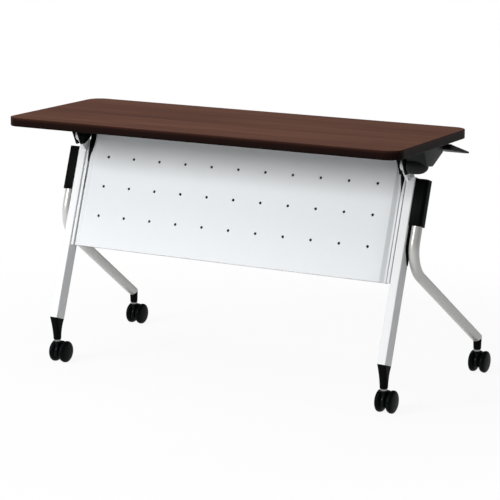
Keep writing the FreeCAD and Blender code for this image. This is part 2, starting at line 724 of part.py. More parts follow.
# Bracket screws: one node with every screw that holds the hinge brackets to the board
screws = []
for number, (x, y) in enumerate(screw_places):
    shank = doc.addObject("Part::Cylinder", f"screw_shank_{number}")
    bind(shank, "Radius", dim.screw_shank / 2)
    bind(shank, "Height", dim.screw_length)
    bind(shank, "Placement.Base.z", underside - dim.base_thickness)
    cap = doc.addObject("Part::Cylinder", f"screw_cap_{number}")
    bind(cap, "Radius", dim.screw_head / 2)
    bind(cap, "Height", dim.screw_head_height)
    bind(cap, "Placement.Base.z", underside - dim.base_thickness - dim.screw_head_height)
    for piece in (shank, cap):
        bind(piece, "Placement.Base.x", x)
        bind(piece, "Placement.Base.y", y + top_y)
    screw = doc.addObject("Part::Fuse", f"screw_{number}")
    screw.Base = cap
    screw.Tool = shank
    screws.append(screw)
screw_set = doc.addObject("Part::Compound", "bracket_screws")
screw_set.Label = "bracket_screws"
screw_set.Links = screws
parts.append(screw_set)

# Lever housing: a black moulding with a barrel over the pivot and a hollow wedge that slopes to the lever
housing = start_body("lever_housing", point(0, pivot_y, pivot_z))
housing_near = base_far + dim.housing_gap
housing_far = end_x - dim.housing_margin
housing_width = housing_far - housing_near
barrel_shares = ((0, 0.72), (0.09, 0.90), (0.24, 1), (0.50, 0.98), (0.68, 0.88), (0.80, 0.70), (0.88, 0.42))
knee_share = 0.33
knee_drop_share = 0.22


def wedge_outline(inset):
    """Side outline of the wedge, moved inwards by the inset on every side but the open one."""
    return [
        (inset - dim.housing_ahead, dim.pivot_drop),
        (inset - dim.housing_drum / 2, inset),
        (dim.housing_back * knee_share, dim.housing_drum * -knee_drop_share + inset),
        (dim.housing_back - inset, dim.pivot_drop - dim.housing_tail + inset),
        (dim.housing_back - inset, dim.pivot_drop),
    ]


flat = sketch_on(housing, "YZ_Plane", housing_near)
draw_polygon(flat, wedge_outline(dim.running_gap))
pad(housing, flat, housing_width)


def on_wedge_end(edge):
    """True for the outline of the wedge's outer end, below the board."""
    box = edge.BoundBox
    on_end = box.XMin > (housing_far - dim.housing_wall).number
    return on_end and box.ZMin < (dim.pivot_drop - dim.housing_wall).number


round_edges(housing, on_wedge_end, dim.housing_round)
flat = sketch_on(housing, "YZ_Plane", housing_near + dim.housing_wall)
draw_polygon(flat, wedge_outline(dim.housing_wall * 2))
pocket(housing, flat, housing_width - dim.housing_wall * 2 - dim.housing_round, reversed_way=True)
flat = sketch_on(housing, "XZ_Plane")
rim_points = [(housing_near + housing_width * along, dim.housing_drum * out) for along, out in barrel_shares]
axis_points = [(housing_near + housing_width * barrel_shares[-1][0], 0), (housing_near, 0)]
draw_polygon(flat, rim_points + axis_points)
barrel = housing.newObject("PartDesign::Revolution", "housing_barrel")
barrel.Profile = flat
barrel.ReferenceAxis = (flat, ["H_Axis"])
doc.recompute()

# Release shaft: a plain rod under the board that joins the lever to both latch pawls
shaft = start_body("release_shaft", point(0, shaft_y, shaft_z))
flat = sketch_on(shaft, "YZ_Plane", -(post_inner + dim.head_thickness))
draw_circle(flat, 0, 0, dim.shaft_diameter / 2)
lever_far = end_x - dim.lever_margin
pad(shaft, flat, lever_far - dim.shaft_end_gap + post_inner + dim.head_thickness)

# Shaft guides: blocks under the board that carry the release shaft
for name, side in (("left", -1), ("middle", 0), ("right", 1)):
    guide = start_body(f"shaft_guide_{name}", point((post_x - dim.guide_inset) * side, shaft_y, shaft_z))
    flat = sketch_on(guide, "YZ_Plane")
    low = -(dim.shaft_diameter / 2 + dim.guide_wall)
    draw_polygon(flat, [(dim.guide_depth / -2, low), (dim.guide_depth / 2, low),
                        (dim.guide_depth / 2, dim.shaft_drop), (dim.guide_depth / -2, dim.shaft_drop)])
    draw_circle(flat, 0, 0, dim.shaft_diameter / 2 + dim.running_gap)
    pad(guide, flat, dim.guide_width, symmetric=True)

# Release lever: a hub on the shaft and a thin paddle that slopes back to a rounded lip
lever = start_body("release_lever", point(0, shaft_y, shaft_z))
lever_near = lever_far - dim.lever_width
flat = sketch_on(lever, "YZ_Plane", lever_near)
draw_polygon(flat, [
    (0, dim.lever_hub), (dim.lever_hub, dim.lever_hub),
    (dim.lever_reach, -dim.lever_dip), (dim.lever_reach, -dim.lever_dip - dim.lever_tip), (0, -dim.lever_hub),
])
pad(lever, flat, dim.lever_width)
flat = sketch_on(lever, "YZ_Plane", lever_near)
draw_circle(flat, 0, 0, dim.lever_hub)
pad(lever, flat, dim.lever_width)


def on_lip_corner(edge):
    """True for the two short upright edges at the lip of the paddle."""
    return runs_along(edge, UP) and edge.CenterOfMass.y > dim.shaft_diameter.number + dim.lever_hub.number


round_edges(lever, on_lip_corner, dim.lever_corner)
flat = sketch_on(lever, "YZ_Plane", lever_near)
draw_circle(flat, 0, 0, dim.shaft_diameter / 2 + dim.running_gap)
pocket(lever, flat, dim.lever_width, reversed_way=True)

# Latch pawls: arms on the shaft whose noses stand against the rear of the pivot heads
nose_y = dim.pivot_back + dim.catch_radius + dim.pawl_gap - dim.shaft_back
nose_z = dim.shaft_drop - dim.pivot_drop
for name, side in SIDES:
    pawl = start_body(f"latch_pawl_{name}", point(0, shaft_y, shaft_z))
    pawl_near = post_inner + dim.head_thickness / 2 - dim.pawl_thickness / 2
    pawl_low = low_side(side, pawl_near, dim.pawl_thickness)
    flat = sketch_on(pawl, "YZ_Plane", pawl_low)
    draw_polygon(flat, [
        (0, dim.pawl_hub), (nose_y, nose_z + dim.pawl_nose), (nose_y, nose_z),
        (nose_y + dim.pawl_nose, nose_z), (0, -dim.pawl_hub),
    ])
    pad(pawl, flat, dim.pawl_thickness)
    flat = sketch_on(pawl, "YZ_Plane", pawl_low)
    draw_circle(flat, 0, 0, dim.pawl_hub)
    pad(pawl, flat, dim.pawl_thickness)
    flat = sketch_on(pawl, "YZ_Plane", pawl_low)
    draw_circle(flat, 0, 0, dim.shaft_diameter / 2 + dim.running_gap)
    pocket(pawl, flat, dim.pawl_thickness, reversed_way=True)

# Casters: hood, stem with collar, axle and two domed wheels at each of the four feet
STATIONS = []
for name, side in SIDES:
    STATIONS.append((f"front_{name}", side, post_x * side, post_foot_y))
    STATIONS.append((f"rear_{name}", side, rear_stem_x * side, top_y + dim.rear_stem_back))
axle_z = dim.wheel_diameter / 2


def on_hood_rim(edge):
    """True for the upper rim of the hood's round boss."""
    return lies_level(edge, dim.hood_top)


wheel_near = dim.hood_width / 2 + dim.wheel_hub_gap
tread_shares = ((0, 0.78), (0.06, 0.86), (0.18, 0.94), (0.34, 0.99), (0.5, 1), (0.66, 0.985), (0.8, 0.93),
                (0.91, 0.83), (0.97, 0.7), (1, 0.4))
for name, side, stem_x, stem_y in STATIONS:
    hood = start_body(f"caster_hood_{name}", point(stem_x, stem_y, 0))
    flat = sketch_on(hood, "YZ_Plane")
    draw_circle(flat, dim.caster_trail, axle_z, dim.hood_radius)
    pad(hood, flat, dim.hood_width, symmetric=True)
    flat = sketch_on(hood, "YZ_Plane")
    boss_low = dim.wheel_diameter + dim.wheel_hub_gap
    draw_polygon(flat, [
        (dim.hood_shoulder / -2, dim.stem_low), (dim.caster_trail, axle_z),
        (dim.caster_trail + dim.hood_radius / 2, dim.stem_low), (dim.hood_shoulder / 2, boss_low),
        (dim.hood_shoulder / -2, boss_low),
    ])
    pad(hood, flat, dim.hood_width, symmetric=True)
    flat = sketch_on(hood, "XY_Plane")
    draw_rectangle(flat, dim.hood_width * 2, dim.wheel_diameter * 2)
    pocket(hood, flat, dim.hood_clearance, reversed_way=True)
    flat = sketch_on(hood, "XY_Plane", boss_low)
    draw_circle(flat, 0, 0, dim.hood_boss / 2)
    pad(hood, flat, dim.hood_top - boss_low)
    round_edges(hood, on_hood_rim, dim.hood_round)
    flat = sketch_on(hood, "XY_Plane", dim.hood_top)
    draw_circle(flat, 0, 0, dim.stem_diameter / 2 + dim.running_gap)
    pocket(hood, flat, dim.hood_top - dim.stem_low)
    flat = sketch_on(hood, "YZ_Plane")
    draw_circle(flat, dim.caster_trail, axle_z, dim.axle_diameter / 2 + dim.running_gap)
    pocket(hood, flat, dim.hood_width * 2, symmetric=True)

    stem = start_body(f"caster_stem_{name}", point(stem_x, stem_y, 0))
    flat = sketch_on(stem, "XZ_Plane")
    collar_top = dim.socket_height - dim.seat_gap
    draw_polygon(flat, [
        (0, dim.stem_low), (dim.stem_diameter / 2, dim.stem_low), (dim.stem_diameter / 2, dim.hood_top),
        (dim.collar_diameter / 2, dim.hood_top), (dim.collar_diameter / 2, collar_top),
        (dim.stem_diameter / 2, collar_top), (dim.stem_diameter / 2, dim.stem_top), (0, dim.stem_top),
    ])
    turned = stem.newObject("PartDesign::Revolution", f"{stem.Label}_turned")
    turned.Profile = flat
    turned.ReferenceAxis = (flat, ["V_Axis"])

    axle = start_body(f"caster_axle_{name}", point(stem_x, stem_y + dim.caster_trail, axle_z))
    flat = sketch_on(axle, "YZ_Plane")
    draw_circle(flat, 0, 0, dim.axle_diameter / 2)
    pad(axle, flat, (wheel_near + dim.axle_grip) * 2, symmetric=True)

    for place, way in (("inner", -side), ("outer", side)):
        wheel = start_body(f"caster_wheel_{name}_{place}", point(stem_x, stem_y + dim.caster_trail, axle_z))
        wheel_far = wheel_near + dim.wheel_width
        bore = dim.axle_diameter / 2 + dim.running_gap
        bore_end = wheel_near + dim.axle_grip + dim.seat_gap
        rim = dim.wheel_diameter / 2
        flat = sketch_on(wheel, "XZ_Plane")
        tread = [((wheel_near + dim.wheel_width * along) * way, rim * out) for along, out in tread_shares]
        hub = [(wheel_far * way, 0), (bore_end * way, 0), (bore_end * way, bore), (wheel_near * way, bore)]
        draw_polygon(flat, tread + hub)
        turned = wheel.newObject("PartDesign::Revolution", f"{wheel.Label}_turned")
        turned.Profile = flat
        turned.ReferenceAxis = (flat, ["H_Axis"])

doc.recompute()
for item in doc.Objects:
    if "Invalid" in item.State or "Error" in item.State:
        raise ValueError(f"{item.Label} did not build")
os.makedirs("parts", exist_ok=True)
for part in parts:
    if part.Shape.isNull() or not part.Shape.isValid():
        raise ValueError(f"{part.Label} has no valid shape")
    part.Shape.exportStep(f"parts/{part.Label}.step")
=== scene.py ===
"""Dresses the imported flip-top table: finishes for its CAD nodes, finer pieces, floor, light and camera."""
import json
import math

import bmesh
import bpy
from mathutils import Matrix, Vector


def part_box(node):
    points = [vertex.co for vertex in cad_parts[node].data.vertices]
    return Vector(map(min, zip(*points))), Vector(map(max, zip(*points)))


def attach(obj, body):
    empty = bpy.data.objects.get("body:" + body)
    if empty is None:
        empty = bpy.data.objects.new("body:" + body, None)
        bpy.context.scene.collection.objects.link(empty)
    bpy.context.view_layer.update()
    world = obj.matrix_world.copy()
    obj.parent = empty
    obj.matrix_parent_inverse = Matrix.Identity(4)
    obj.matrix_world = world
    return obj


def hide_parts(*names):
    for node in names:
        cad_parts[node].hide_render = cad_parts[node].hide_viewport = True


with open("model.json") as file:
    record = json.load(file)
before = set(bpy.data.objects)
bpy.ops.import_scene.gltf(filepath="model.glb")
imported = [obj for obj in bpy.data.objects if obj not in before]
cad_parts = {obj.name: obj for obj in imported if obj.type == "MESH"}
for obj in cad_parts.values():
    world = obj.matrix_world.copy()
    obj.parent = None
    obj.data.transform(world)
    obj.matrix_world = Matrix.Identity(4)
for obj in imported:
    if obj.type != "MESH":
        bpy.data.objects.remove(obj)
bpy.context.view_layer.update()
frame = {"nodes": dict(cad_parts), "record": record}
nodes = frame["nodes"]

# Tabletop: a laminated chipboard slab with dark brown wood grain running along its length.
# The print has broad soft bands, fine pores and a low satin sheen; the underside has a dark grey backing.
MIX_FIRST, MIX_SECOND, MIX_RESULT = 6, 7, 2


def new_material(name, base_colour, roughness, metallic=0.0, specular=0.5):
    """A Principled material with its even values set on the shader itself."""
    material = bpy.data.materials.new(name)
    material.use_nodes = True
    shader = material.node_tree.nodes["Principled BSDF"]
    shader.inputs["Base Color"].default_value = (*base_colour, 1)
    shader.inputs["Roughness"].default_value = roughness
    shader.inputs["Metallic"].default_value = metallic
    shader.inputs["Specular IOR Level"].default_value = specular
    return material, material.node_tree, shader


def object_coordinates(tree):
    """Positions on the piece itself, in metres."""
    return tree.nodes.new("ShaderNodeTexCoord").outputs["Object"]


def stretched_noise(tree, source, scale, detail, roughness=0.55, distortion=0.0):
    """Noise on Object coordinates, with its own scale along each axis."""
    mapping = tree.nodes.new("ShaderNodeMapping")
    mapping.inputs["Scale"].default_value = scale
    noise = tree.nodes.new("ShaderNodeTexNoise")
    noise.inputs["Scale"].default_value = 1
    noise.inputs["Detail"].default_value = detail
    noise.inputs["Roughness"].default_value = roughness
    noise.inputs["Distortion"].default_value = distortion
    tree.links.new(source, mapping.inputs["Vector"])
    tree.links.new(mapping.outputs["Vector"], noise.inputs["Vector"])
    return noise.outputs["Fac"]


def colour_steps(tree, value, steps):
    """A colour ramp through (position, colour) steps."""
    ramp = tree.nodes.new("ShaderNodeValToRGB")
    elements = ramp.color_ramp.elements
    while len(elements) < len(steps):
        elements.new(0.5)
    for element, (position, colour) in zip(elements, steps):
        element.position = position
        element.color = (*colour, 1)
    tree.links.new(value, ramp.inputs["Fac"])
    return ramp.outputs["Color"]


def blend_colours(tree, mode, factor, first, second):
    """Mix two colours; the factor is a number or a socket."""
    mix = tree.nodes.new("ShaderNodeMix")
    mix.data_type = "RGBA"
    mix.blend_type = mode
    if isinstance(factor, float):
        mix.inputs["Factor"].default_value = factor
    else:
        tree.links.new(factor, mix.inputs["Factor"])
    for socket, colour in ((mix.inputs[MIX_FIRST], first), (mix.inputs[MIX_SECOND], second)):
        if isinstance(colour, tuple):
            socket.default_value = (*colour, 1)
        else:
            tree.links.new(colour, socket)
    return mix.outputs[MIX_RESULT]


def spread(tree, value, low, high):
    """Map a 0 to 1 value to a range."""
    mapped = tree.nodes.new("ShaderNodeMapRange")
    mapped.inputs["To Min"].default_value = low
    mapped.inputs["To Max"].default_value = high
    tree.links.new(value, mapped.inputs["Value"])
    return mapped.outputs["Result"]


def add_bump(tree, shader, height, strength, distance):
    """Feed a height to the shader's normal."""
    bump = tree.nodes.new("ShaderNodeBump")
    bump.inputs["Strength"].default_value = strength
    bump.inputs["Distance"].default_value = distance
    tree.links.new(height, bump.inputs["Height"])
    tree.links.new(bump.outputs["Normal"], shader.inputs["Normal"])


def coat(material, *names):
    """Give CAD nodes their finish."""
    for name in names:
        slots = nodes[name].data.materials
        slots.clear()
        slots.append(material)


BACKING_DARK = (0.030, 0.026, 0.024)
BACKING_PALE = (0.042, 0.037, 0.034)
WALNUT_DARK = (0.070, 0.023, 0.012)
WALNUT_MIDDLE = (0.125, 0.046, 0.026)
WALNUT_LIGHT = (0.185, 0.078, 0.048)
GRAIN_BANDS = (0.9, 16.0, 1.0)
GRAIN_STREAKS = (3.0, 90.0, 1.0)
GRAIN_PORES = (22.0, 620.0, 1.0)
STREAK_SHARE, PORE_SHARE = 0.55, 0.55
PORE_STRENGTH, PORE_DEPTH = 0.12, 0.0002
UNDERSIDE_FACING = -0.5
BROAD_STEPS = ((0.30, WALNUT_DARK), (0.50, WALNUT_MIDDLE), (0.72, WALNUT_LIGHT))
FINE_STEPS = ((0.32, WALNUT_DARK), (0.52, WALNUT_MIDDLE), (0.70, WALNUT_LIGHT))
BACKING_STEPS = ((0.3, BACKING_DARK), (0.7, BACKING_PALE))
PORE_TINT = (0.72, 1.18)
LAMINATE_ROUGHNESS = (0.36, 0.50)
laminate, tree, shader = new_material("walnut_laminate", WALNUT_MIDDLE, roughness=0.5, specular=0.05)
spot = object_coordinates(tree)
bands = stretched_noise(tree, spot, GRAIN_BANDS, detail=4, distortion=0.6)
streaks = stretched_noise(tree, spot, GRAIN_STREAKS, detail=6, roughness=0.65)
pores = stretched_noise(tree, spot, GRAIN_PORES, detail=3)
broad = colour_steps(tree, bands, BROAD_STEPS)
fine = colour_steps(tree, streaks, FINE_STEPS)
grain = blend_colours(tree, "MIX", STREAK_SHARE, broad, fine)
pore_mask = spread(tree, pores, *PORE_TINT)
grain = blend_colours(tree, "MULTIPLY", PORE_SHARE, grain, pore_mask)
facing = tree.nodes.new("ShaderNodeSeparateXYZ")
tree.links.new(tree.nodes.new("ShaderNodeTexCoord").outputs["Normal"], facing.inputs["Vector"])
underside = tree.nodes.new("ShaderNodeMath")
underside.operation = "LESS_THAN"
underside.inputs[1].default_value = UNDERSIDE_FACING
tree.links.new(facing.outputs["Z"], underside.inputs[0])
backing = colour_steps(tree, streaks, BACKING_STEPS)
grain = blend_colours(tree, "MIX", underside.outputs["Value"], grain, backing)
tree.links.new(grain, shader.inputs["Base Color"])
tree.links.new(spread(tree, streaks, *LAMINATE_ROUGHNESS), shader.inputs["Roughness"])
add_bump(tree, shader, pores, PORE_STRENGTH, PORE_DEPTH)
coat(laminate, "tabletop")

# Edge band: a very dark brown plastic strip glued round the board, its two outer edges eased.
# Its face is smooth; a painted highlight makes its upper edge brown and painted shade makes its lower one
# nearly black.
BAND_PAINTED_SHADE = (0.0065, 0.0032, 0.0027)
BAND_COLOUR = (0.0115, 0.0046, 0.0036)
BAND_PAINTED_HIGHLIGHT = (0.036, 0.0132, 0.009)
BAND_LIGHT_STEPS = ((0.05, BAND_PAINTED_SHADE), (0.7, BAND_COLOUR), (0.98, BAND_PAINTED_HIGHLIGHT))
BAND_FLOW, FLOW_SHARE = (7.0, 7.0, 160.0), 0.6
FLOW_STRENGTH, FLOW_DEPTH = 0.05, 0.0002
FLOW_TINT = (0.6, 1.4)
BAND_ROUGHNESS = (0.28, 0.42)
band_low, band_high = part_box("edge_band")
edging, tree, shader = new_material("dark_edging", BAND_COLOUR, roughness=0.34, specular=0.02)
spot = object_coordinates(tree)
flow = stretched_noise(tree, spot, BAND_FLOW, detail=4)
place = tree.nodes.new("ShaderNodeSeparateXYZ")
tree.links.new(spot, place.inputs["Vector"])
# Painted light by height: painted shade at the band's lower edge, a painted highlight at its upper edge.
band_light_height = tree.nodes.new("ShaderNodeMapRange")
band_light_height.inputs["From Min"].default_value = band_low[2]
band_light_height.inputs["From Max"].default_value = band_high[2]
tree.links.new(place.outputs["Z"], band_light_height.inputs["Value"])
tone = colour_steps(tree, band_light_height.outputs["Result"], BAND_LIGHT_STEPS)
tone = blend_colours(tree, "MULTIPLY", FLOW_SHARE, tone, spread(tree, flow, *FLOW_TINT))
tree.links.new(tone, shader.inputs["Base Color"])
tree.links.new(spread(tree, flow, *BAND_ROUGHNESS), shader.inputs["Roughness"])
add_bump(tree, shader, flow, FLOW_STRENGTH, FLOW_DEPTH)
coat(edging, "edge_band")

# Posts, pivot heads and cross beam: welded steel painted in a white powder coat.
# The coat has a fine orange-peel texture and gathers a trace of dust on faces that look up.
SIDES = (("left", -1), ("right", 1))
PEEL_SCALE, PEEL_DETAIL, PEEL_DEPTH = 900, 2, 0.0003
TONE_SCALE, TONE_DETAIL = 9, 5
TONE_LOW, TONE_HIGH = 0.35, 0.65
DUST_FACING = 0.35
DUST_PALE = (0.62, 0.60, 0.57)


def powder_coat_group():
    """Shared orange peel and dust: a dust share, a tone share and a height."""
    group = bpy.data.node_groups.new("powder_coat_texture", "ShaderNodeTree")
    peel_scale = group.interface.new_socket("Peel Scale", in_out="INPUT", socket_type="NodeSocketFloat")
    peel_scale.default_value = PEEL_SCALE
    for output in ("Dust", "Tone", "Height"):
        group.interface.new_socket(output, in_out="OUTPUT", socket_type="NodeSocketFloat")
    entry = group.nodes.new("NodeGroupInput")
    leave = group.nodes.new("NodeGroupOutput")
    coordinates = group.nodes.new("ShaderNodeTexCoord")
    peel = group.nodes.new("ShaderNodeTexNoise")
    peel.inputs["Detail"].default_value = PEEL_DETAIL
    group.links.new(coordinates.outputs["Object"], peel.inputs["Vector"])
    group.links.new(entry.outputs["Peel Scale"], peel.inputs["Scale"])
    group.links.new(peel.outputs["Fac"], leave.inputs["Height"])
    tone = group.nodes.new("ShaderNodeTexNoise")
    tone.inputs["Scale"].default_value = TONE_SCALE
    tone.inputs["Detail"].default_value = TONE_DETAIL
    group.links.new(coordinates.outputs["Object"], tone.inputs["Vector"])
    group.links.new(tone.outputs["Fac"], leave.inputs["Tone"])
    facing = group.nodes.new("ShaderNodeSeparateXYZ")
    group.links.new(coordinates.outputs["Normal"], facing.inputs["Vector"])
    lifted = group.nodes.new("ShaderNodeMapRange")
    lifted.inputs["From Min"].default_value = DUST_FACING
    group.links.new(facing.outputs["Z"], lifted.inputs["Value"])
    settled = group.nodes.new("ShaderNodeMath")
    settled.operation = "MULTIPLY"
    group.links.new(lifted.outputs["Result"], settled.inputs[0])
    group.links.new(tone.outputs["Fac"], settled.inputs[1])
    group.links.new(settled.outputs["Value"], leave.inputs["Dust"])
    return group


powder_texture = powder_coat_group()


def powder_coat(name, colour, shade, dust, roughness, peel_scale, peel_strength,
                metallic=0.0, specular=0.5, dust_share=0.25):
    """A painted or moulded finish built on the shared texture; roughness runs from low to high."""
    material, tree, shader = new_material(name, colour, roughness[0], metallic, specular)
    texture = tree.nodes.new("ShaderNodeGroup")
    texture.node_tree = powder_texture
    texture.inputs["Peel Scale"].default_value = peel_scale
    toned = colour_steps(tree, texture.outputs["Tone"], ((TONE_LOW, shade), (TONE_HIGH, colour)))
    dust_mask = spread(tree, texture.outputs["Dust"], 0.0, dust_share)
    dusted = blend_colours(tree, "MIX", dust_mask, toned, dust)
    tree.links.new(dusted, shader.inputs["Base Color"])
    tree.links.new(spread(tree, texture.outputs["Tone"], *roughness), shader.inputs["Roughness"])
    add_bump(tree, shader, texture.outputs["Height"], peel_strength, PEEL_DEPTH)
    return material


white_paint = powder_coat("white_powder_coat", colour=(0.80, 0.815, 0.825), shade=(0.77, 0.785, 0.795),
                          dust=DUST_PALE, roughness=(0.38, 0.5), peel_scale=700, peel_strength=0.10)
for name, side in SIDES:
    coat(white_paint, f"post_{name}", f"pivot_head_{name}")
coat(white_paint, "cross_beam")

# Modesty panel: one perforated sheet of steel, folded back on all edges and clipped between the posts.
# Its broad face stands forward on two long sloping folds, and a cool white powder coat covers it.
MILLIMETRE = 0.001
WELD_DISTANCE = 0.000001
SHARP_ANGLE = math.radians(40)
LEAN = math.radians(19.5)
POST_FOOT = (0, -0.212, 0.133)
PANEL_LOW, PANEL_HIGH = 0.2128, 0.5624
PANEL_FRONT, PANEL_RECESS, PANEL_BACK = -0.020, -0.014, -0.0085
PANEL_SHEET, FOLD_RADIUS = 0.0012, 0.0015
FACE_HALF, SLOPE_HALF, EDGE_HALF = 0.474, 0.485, 0.4915
HOLE_PITCH, FIRST_ROW = 0.085, 0.09
HOLE_ROWS, HOLES_PER_HALF = 3, 5
HOLE_RADIUS, HOLE_MARGIN, HOLE_SIDES = 0.004, 0.003, 16
NOTCH_LOW, NOTCH_HIGH, NOTCH_SHARE = 0.464, 0.512, 0.5
lean_frame = Matrix.Translation(POST_FOOT) @ Matrix.Rotation(-LEAN, 4, "X")
panel_paint = powder_coat("panel_powder_coat", colour=(0.765, 0.79, 0.81), shade=(0.74, 0.765, 0.785),
                          dust=DUST_PALE, roughness=(0.42, 0.52), peel_scale=900, peel_strength=0.06)


def add_piece(name, shape, material, body, slot, *replaced):
    """Turn a bmesh into a finished piece that rides on a body and stands for CAD nodes."""
    bmesh.ops.remove_doubles(shape, verts=shape.verts, dist=WELD_DISTANCE)
    bmesh.ops.recalc_face_normals(shape, faces=shape.faces)
    for face in shape.faces:
        face.smooth = True
    mesh = bpy.data.meshes.new(name)
    shape.to_mesh(mesh)
    shape.free()
    mesh.materials.append(material)
    mesh.set_sharp_from_angle(angle=SHARP_ANGLE)
    piece = bpy.data.objects.new(name, mesh)
    bpy.context.scene.collection.objects.link(piece)
    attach(piece, body)
    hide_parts(*replaced)


def bevel(shape, geometry, offset, segments, affect="EDGES"):
    """Round edges or corners with a circular profile."""
    bmesh.ops.bevel(shape, geom=geometry, offset=offset, offset_type="OFFSET", segments=segments,
                    profile=0.5, affect=affect, material=-1)


hole_columns = [HOLE_PITCH * step for step in range(-HOLES_PER_HALF, HOLES_PER_HALF + 1)]
hole_rows = [PANEL_LOW + FIRST_ROW + HOLE_PITCH * step for step in range(HOLE_ROWS)]
square = HOLE_RADIUS + HOLE_MARGIN
across = sorted([way * half for half in (FACE_HALF, SLOPE_HALF, EDGE_HALF) for way in (-1, 1)]
                + [x + way * square for x in hole_columns for way in (-1, 1)])
upward = sorted([PANEL_LOW, NOTCH_LOW, NOTCH_HIGH, PANEL_HIGH]
                + [z + way * square for z in hole_rows for way in (-1, 1)])
shape = bmesh.new()
bmesh.ops.create_grid(shape, x_segments=len(across) - 1, y_segments=len(upward) - 1, size=1)
column_of = {}
for vert in shape.verts:
    column_of[vert] = round((vert.co.x + 1) / 2 * (len(across) - 1))
    x = across[column_of[vert]]
    z = upward[round((vert.co.y + 1) / 2 * (len(upward) - 1))]
    depth = PANEL_FRONT if abs(x) < (FACE_HALF + SLOPE_HALF) / 2 else PANEL_RECESS
    notch = NOTCH_SHARE * min(max((z - NOTCH_LOW) / (NOTCH_HIGH - NOTCH_LOW), 0), 1)
    beyond = max(abs(x) - FACE_HALF, 0)
    vert.co = (math.copysign(abs(x) - beyond * notch, x), depth, z)
rim = [edge for edge in shape.edges if edge.is_boundary]
fold_columns = {across.index(way * half) for half in (FACE_HALF, SLOPE_HALF) for way in (-1, 1)}
folds = [edge for edge in shape.edges
         if column_of[edge.verts[0]] == column_of[edge.verts[1]] and column_of[edge.verts[0]] in fold_columns]
face_middles = [(face, face.calc_center_median()) for face in shape.faces]
for x in hole_columns:
    for z in hole_rows:
        middle = Vector((x, PANEL_FRONT, z))
        filled = min(face_middles, key=lambda item: (item[1] - middle).length)[0]
        outline = list(filled.edges)
        bmesh.ops.delete(shape, geom=[filled], context="FACES_ONLY")
        upright = Matrix.Translation(middle) @ Matrix.Rotation(math.pi / 2, 4, "X")
        circle = bmesh.ops.create_circle(shape, segments=HOLE_SIDES, radius=HOLE_RADIUS, matrix=upright)
        rounds = list({edge for vert in circle["verts"] for edge in vert.link_edges})
        bmesh.ops.triangle_fill(shape, use_beauty=True, edges=outline + rounds, normal=(0, -1, 0))
        face_middles = [item for item in face_middles if item[0].is_valid]
for item in bmesh.ops.extrude_edge_only(shape, edges=rim)["geom"]:
    if isinstance(item, bmesh.types.BMVert):
        item.co.y = PANEL_BACK
bevel(shape, rim + folds, FOLD_RADIUS, segments=3)
bmesh.ops.recalc_face_normals(shape, faces=shape.faces)
bmesh.ops.solidify(shape, geom=list(shape.faces), thickness=PANEL_SHEET)
bmesh.ops.transform(shape, matrix=lean_frame, verts=shape.verts)
add_piece("panel_sheet", shape, panel_paint, "frame", "panel_paint", "modesty_panel")

# Panel brackets: folded steel strips on the posts' inner faces, painted white like the posts.
# Each strip stands off the panel and the post by a narrow dark gap and tapers to its top.
STRIP_LOW, STRIP_HIGH, STRIP_TAPER = 212.8, 517.4, 446.5
STRIP_NEAR, STRIP_FAR, STRIP_TIP = 495, 502.6, 501.8
STRIP_WEB_NEAR, STRIP_FOOT_FAR = 500.8, 505.4
STRIP_FRONT, STRIP_FACE_BACK, STRIP_WEB_BACK, STRIP_FOOT_BACK = -17.8, -15.8, -10, -6.2
STRIP_FACE = ((STRIP_NEAR, STRIP_LOW), (STRIP_FAR, STRIP_LOW), (STRIP_FAR, STRIP_HIGH),
              (STRIP_TIP, STRIP_HIGH), (STRIP_NEAR, STRIP_TAPER))
STRIP_WEB = ((STRIP_WEB_NEAR, STRIP_LOW), (STRIP_FAR, STRIP_LOW), (STRIP_FAR, STRIP_HIGH),
             (STRIP_WEB_NEAR, STRIP_HIGH))
STRIP_FOOT = ((STRIP_WEB_NEAR, STRIP_LOW), (STRIP_FOOT_FAR, STRIP_LOW), (STRIP_FOOT_FAR, STRIP_HIGH),
              (STRIP_WEB_NEAR, STRIP_HIGH))
STRIP_FOLDS = ((STRIP_FACE, STRIP_FRONT, STRIP_FACE_BACK), (STRIP_WEB, STRIP_FACE_BACK, STRIP_WEB_BACK),
               (STRIP_FOOT, STRIP_WEB_BACK, STRIP_FOOT_BACK))
STRIP_EASING = 0.3


def pull_out(shape, faces, step):
    """Extrude faces by a step and return the corners of the far side."""
    grown = bmesh.ops.extrude_face_region(shape, geom=faces)["geom"]
    far_corners = [item for item in grown if isinstance(item, bmesh.types.BMVert)]
    bmesh.ops.translate(shape, verts=far_corners, vec=step)
    return far_corners


def raise_outline(shape, outline, near, far, place):
    """Raise a flat outline from one depth to another; place turns (across, depth, up) into a position."""
    corners = [shape.verts.new(place(across, near, up)) for across, up in outline]
    step = Vector(place(0, far, 0)) - Vector(place(0, near, 0))
    far_corners = pull_out(shape, [shape.faces.new(corners)], step)
    return list({edge for vert in corners + far_corners for edge in vert.link_edges})


for name, side in SIDES:
    shape = bmesh.new()
    for outline, front, rear in STRIP_FOLDS:
        edges = raise_outline(shape, outline, front, rear,
                              lambda across, depth, up: Vector((across * side, depth, up)) * MILLIMETRE)
        bevel(shape, edges, STRIP_EASING * MILLIMETRE, segments=2)
    bmesh.ops.transform(shape, matrix=lean_frame, verts=shape.verts)
    add_piece(f"panel_strip_{name}", shape, white_paint, "frame", "white_paint", f"panel_bracket_{name}")

